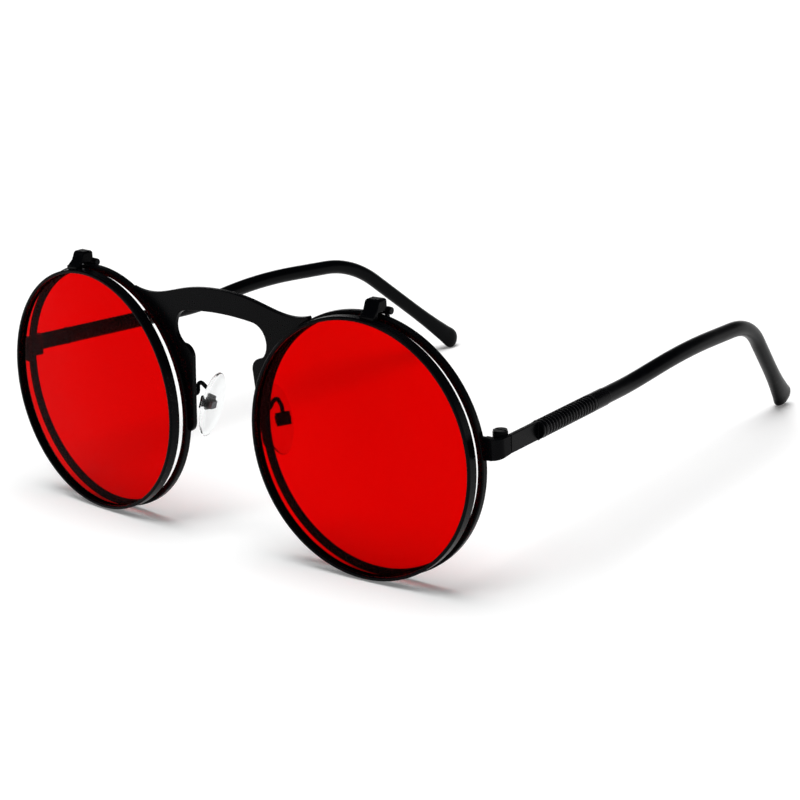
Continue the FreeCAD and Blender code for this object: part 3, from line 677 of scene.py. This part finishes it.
def pad_matrix(word, side):
    """The pad's place: X runs through its thickness towards the box, Z along its length."""
    mirror = Matrix.Diagonal((side, 1, 1, 1))
    level = Matrix.Rotation(-PAD_TILT, 4, "X") @ Matrix.Rotation(-PAD_TOE, 4, "Z")
    turn = mirror @ level @ Matrix.Rotation(-PAD_SPLAY, 4, "Y")
    pin = JOINT_PLACES["rock_" + word]
    return Matrix.Translation(pin - turn @ Vector((PIN_BEHIND_PAD, 0, 0))) @ turn


for word, side in SIDES.items():
    print(word, "pad lies at", in_mm(pad_matrix(word, side).translation), "mm")

# %% [markdown]
# The pad is crowned on the face that touches the nose and flatter behind, where it swallows the plated
# block. A squashed ball would be crowned alike on both faces. So an oval ring of edges is extruded
# through a few stations, each scaled to its share of the outline, and a subdivision surface rounds it.

# %% Moulded nose pads
PAD_LONG = 14.0 * MM
PAD_WIDE = 7.0 * MM
PAD_THICK = 1.4 * MM
PAD_SIDES = 32
PAD_ROUNDING = 2
# Each station is a share of the outline and a depth in thicknesses, from the nose to the block.
PAD_STATIONS = [
    (0.3, -0.5), (0.62, -0.47), (0.88, -0.34), (0.99, -0.12),
    (1.0, 0.08), (0.95, 0.32), (0.78, 0.46), (0.4, 0.5),
]


def extrude_ring(bm, ring):
    """Extrudes a ring of edges, and gives back the edges and points of the new ring."""
    made = bmesh.ops.extrude_edge_only(bm, edges=ring)["geom"]
    edges = [e for e in made if isinstance(e, bmesh.types.BMEdge) and len(e.link_faces) == 1]
    verts = [v for v in made if isinstance(v, bmesh.types.BMVert)]
    return edges, verts


def moulded_pad(word, side):
    bm = bmesh.new()
    upright = Matrix.Rotation(math.pi / 2, 4, "Y")
    verts = bmesh.ops.create_circle(bm, segments=PAD_SIDES, radius=UNIT_RADIUS, matrix=upright)["verts"]
    share, depth = PAD_STATIONS[0]
    bmesh.ops.scale(bm, vec=(1, share * PAD_WIDE, share * PAD_LONG), verts=verts)
    bmesh.ops.translate(bm, vec=(depth * PAD_THICK, 0, 0), verts=verts)
    ring = bm.edges[:]
    for next_share, next_depth in PAD_STATIONS[1:]:
        ring, verts = extrude_ring(bm, ring)
        bmesh.ops.scale(bm, vec=(1, next_share / share, next_share / share), verts=verts)
        bmesh.ops.translate(bm, vec=((next_depth - depth) * PAD_THICK, 0, 0), verts=verts)
        share, depth = next_share, next_depth
    bmesh.ops.holes_fill(bm, edges=bm.edges, sides=0)
    bmesh.ops.transform(bm, matrix=pad_matrix(word, side), verts=bm.verts)
    bmesh.ops.recalc_face_normals(bm, faces=bm.faces)
    piece = add_piece("moulded_pad_" + word, bm, "nose_pad_" + word)
    rounding = piece.modifiers.new("rounding", "SUBSURF")
    rounding.levels = PAD_ROUNDING
    rounding.render_levels = PAD_ROUNDING
    return piece


for word, side in SIDES.items():
    piece = moulded_pad(word, side)
    print(piece.name, len(piece.data.polygons), "faces before rounding")

# %% [markdown]
# ## White card
# The glasses stand on a large sheet of white card with a fine fibre. More light would turn it plain
# white, but it would bleach the object too. Instead the card lifts itself a little for the eye, through
# the lenses and in the gloss, and it still shows the shadows.

# %% Floor of white card
WHITE = colour("#ffffff")
FLOOR_SIZE = 6.0
CARD_DARK = colour("#f6f6f6")
CARD_LIGHT = colour("#f8f8f8")
CARD_ROUGH = 0.95
CARD_FIBRE_MM = 1.5
CARD_FIBRE_DETAIL = 2.0
CARD_LIFT = 0.16


def white_card():
    material, tree, place = new_material("white_card")
    fibre = add(tree, "TexNoise", {
        "Vector": place,
        "Scale": 1 / CARD_FIBRE_MM,
        "Detail": CARD_FIBRE_DETAIL,
    })
    tone = add(tree, "Mix", {
        "Factor": fibre.outputs["Fac"],
        "A": CARD_DARK,
        "B": CARD_LIGHT,
    }, data_type="RGBA")
    shader = add(tree, "BsdfPrincipled", {
        "Base Color": shown(tone.outputs, "Result"),
        "Roughness": CARD_ROUGH,
        "Specular IOR Level": 0.0,
    })
    path = add(tree, "LightPath", {})
    seen = path.outputs["Is Camera Ray"]
    for ray in ("Is Glossy Ray", "Is Transmission Ray"):
        seen = add(tree, "Math", {0: seen, 1: path.outputs[ray]}, operation="MAXIMUM").outputs["Value"]
    lift = add(tree, "Math", {0: seen, 1: CARD_LIFT}, operation="MULTIPLY")
    glow = add(tree, "Emission", {"Color": WHITE, "Strength": lift.outputs["Value"]})
    both = add(tree, "AddShader", {0: shader.outputs["BSDF"], 1: glow.outputs["Emission"]})
    add(tree, "OutputMaterial", {"Surface": both.outputs["Shader"]})
    return material


def make_floor():
    bm = bmesh.new()
    bmesh.ops.create_grid(bm, x_segments=1, y_segments=1, size=FLOOR_SIZE / 2)
    bmesh.ops.translate(bm, vec=(0, 0, CAD_LOW.z), verts=bm.verts)
    mesh = bpy.data.meshes.new("floor")
    bm.to_mesh(mesh)
    bm.free()
    mesh.materials.append(white_card())
    floor = bpy.data.objects.new("floor", mesh)
    bpy.context.scene.collection.objects.link(floor)


make_floor()
print("floor of white card", FLOOR_SIZE, "m wide")

# %% [markdown]
# ## Room
# Black metal shows what it mirrors, so the room counts as much as the lamps do. It has low white walls
# and a dim ceiling: the metal mirrors white from below and from the sides, and stays black on top. Walls
# could be modelled, but a world whose light fades with height gives the same with one node.

# %% White walls and a dim ceiling
WALL_LIGHT = 1.0
CEILING_LIGHT = 0.05
WALL_TOP = math.sin(math.radians(4))
CEILING_START = math.sin(math.radians(18))


def make_room():
    world = bpy.data.worlds.new("white room")
    bpy.context.scene.world = world
    world.use_nodes = True
    tree = world.node_tree
    tree.nodes.clear()
    place = add(tree, "TexCoord", {})
    height = add(tree, "SeparateXYZ", {"Vector": place.outputs["Generated"]})
    fade = add(tree, "MapRange", {
        "Value": height.outputs["Z"],
        "From Min": WALL_TOP,
        "From Max": CEILING_START,
        "To Min": WALL_LIGHT,
        "To Max": CEILING_LIGHT,
    }, interpolation_type="SMOOTHSTEP")
    light = add(tree, "Background", {"Color": WHITE, "Strength": fade.outputs["Result"]})
    add(tree, "OutputWorld", {"Surface": light.outputs["Background"]})


make_room()
print("walls", WALL_LIGHT, "and ceiling", CEILING_LIGHT)

# %% [markdown]
# ## Lamps
# A wide soft box overhead gives most of the light. It is left out of the reflections, as a studio hides
# its lamps from gloss, and its shadows are dark where the rims touch the card and fade away from there.
# A small key light from the front adds glints. Area lamps would leave the card brighter in the middle,
# so both are sun lamps, which light it evenly, and their spread softens the shadows.

# %% Soft box and key light
LAMPS = {
    "soft box": {
        "strength": 2.7,
        "spread": math.radians(46),
        "towards": Vector((0, -0.06, 1)),
        "mirrored": False,
    },
    "key light": {
        "strength": 0.25,
        "spread": math.radians(16),
        "towards": Vector((-0.1, -0.5, 0.8)),
        "mirrored": True,
    },
}


def make_lamp(name, strength, spread, towards, mirrored):
    """Adds a sun lamp, where towards is the direction from the object to the lamp."""
    lamp = bpy.data.lights.new(name, "SUN")
    lamp.energy = strength
    lamp.angle = spread
    light = bpy.data.objects.new(name, lamp)
    light.visible_glossy = mirrored
    light.rotation_euler = towards.to_track_quat("Z", "Y").to_euler()
    bpy.context.scene.collection.objects.link(light)


for name, settings in LAMPS.items():
    make_lamp(name, **settings)
bpy.context.scene.view_settings.view_transform = "Standard"
print("lamps", list(LAMPS))
